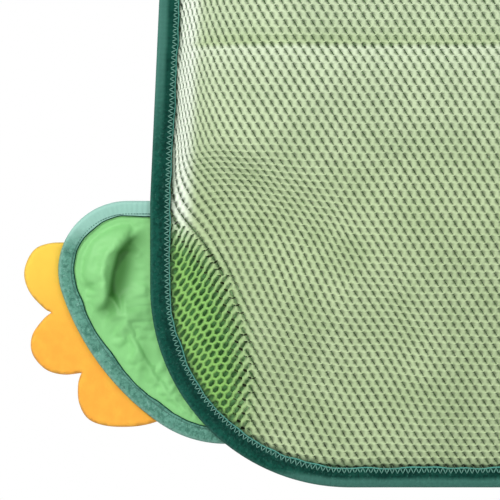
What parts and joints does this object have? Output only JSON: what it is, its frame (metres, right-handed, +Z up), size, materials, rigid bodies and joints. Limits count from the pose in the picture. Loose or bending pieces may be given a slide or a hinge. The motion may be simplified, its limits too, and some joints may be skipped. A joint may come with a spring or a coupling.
{
  "type": "bath toy organizer",
  "caption": "Wall-hung bath toy organizer: bulging net pocket on a cloth back with tape edges, padded animal head, padded feet with felt toes, eyelet tabs and suction cup hooks.",
  "frame": {"origin": "on the wall plane, midway between the axes of the two pegs that the bag hangs on", "axes": "+Z up the wall, +Y into the wall, +X to the right of a person who faces the wall"},
  "size_m": [0.4658, 0.0659, 0.477],
  "materials": {
    "green_cloth": "smooth satin nylon",
    "dark_tape": "woven binding tape",
    "pale_tape": "woven binding tape",
    "net": "knitted polyester net",
    "orange_felt": "felt",
    "white_felt": "felt",
    "dark_felt": "felt",
    "thread": "satin-stitched embroidery",
    "foam": "thin sponge foam",
    "webbing": "woven webbing",
    "nickel": "nickel plated",
    "clear_vinyl": "clear soft vinyl",
    "clear_plastic": "clear moulded plastic"
  },
  "bodies": {
    "wall_cups": {"left_suction_cup": "clear_vinyl", "right_suction_cup": "clear_vinyl"},
    "left_swivel": {"left_hook": "clear_plastic"},
    "right_swivel": {"right_hook": "clear_plastic"},
    "hangers": {"left_tab": "webbing", "left_eyelet": "nickel", "right_tab": "webbing", "right_eyelet": "nickel"},
    "bag": {"back_panel": "green_cloth", "body_binding": "dark_tape", "pocket_net": "net", "mouth_binding": "dark_tape", "head_front": "green_cloth", "head_back": "green_cloth", "head_foam": "foam", "head_binding": "dark_tape", "crest": "orange_felt", "left_eye_white": "white_felt", "left_pupil": "dark_felt", "left_nostril": "thread", "right_eye_white": "white_felt", "right_pupil": "dark_felt", "right_nostril": "thread", "smile": "thread"},
    "left_foot": {"left_foot_front": "green_cloth", "left_foot_back": "green_cloth", "left_foot_foam": "foam", "left_foot_binding": "pale_tape", "left_toes": "orange_felt"},
    "right_foot": {"right_foot_front": "green_cloth", "right_foot_back": "green_cloth", "right_foot_foam": "foam", "right_foot_binding": "pale_tape", "right_toes": "orange_felt"}
  },
  "joints": [
    {"name": "left_hook_turn", "type": "hinge", "parent": "wall_cups", "child": "left_swivel", "pos_m": [-0.076, 0, 0], "axis": [0, 1, 0], "continuous": true},
    {"name": "right_hook_turn", "type": "hinge", "parent": "wall_cups", "child": "right_swivel", "pos_m": [0.076, 0, 0], "axis": [0, 1, 0], "continuous": true},
    {"name": "eyelet_lift", "type": "slide", "parent": "wall_cups", "child": "hangers", "axis": [0, 0, 1], "range_m": [0, 0.006]},
    {"name": "bag_swing", "type": "hinge", "parent": "hangers", "child": "bag", "pos_m": [0, -0.02325, -0.024], "axis": [-1, 0, 0], "range_deg": [0, 35]},
    {"name": "left_foot_flap", "type": "hinge", "parent": "bag", "child": "left_foot", "pos_m": [-0.1715, -0.0194, -0.3951], "axis": [-0.342, 0, 0.9397], "range_deg": [0, 28], "stiffness_Nm_per_rad": 0.02},
    {"name": "right_foot_flap", "type": "hinge", "parent": "bag", "child": "right_foot", "pos_m": [0.1715, -0.0194, -0.3951], "axis": [-0.342, 0, -0.9397], "range_deg": [0, 28], "stiffness_Nm_per_rad": 0.02}
  ]
}
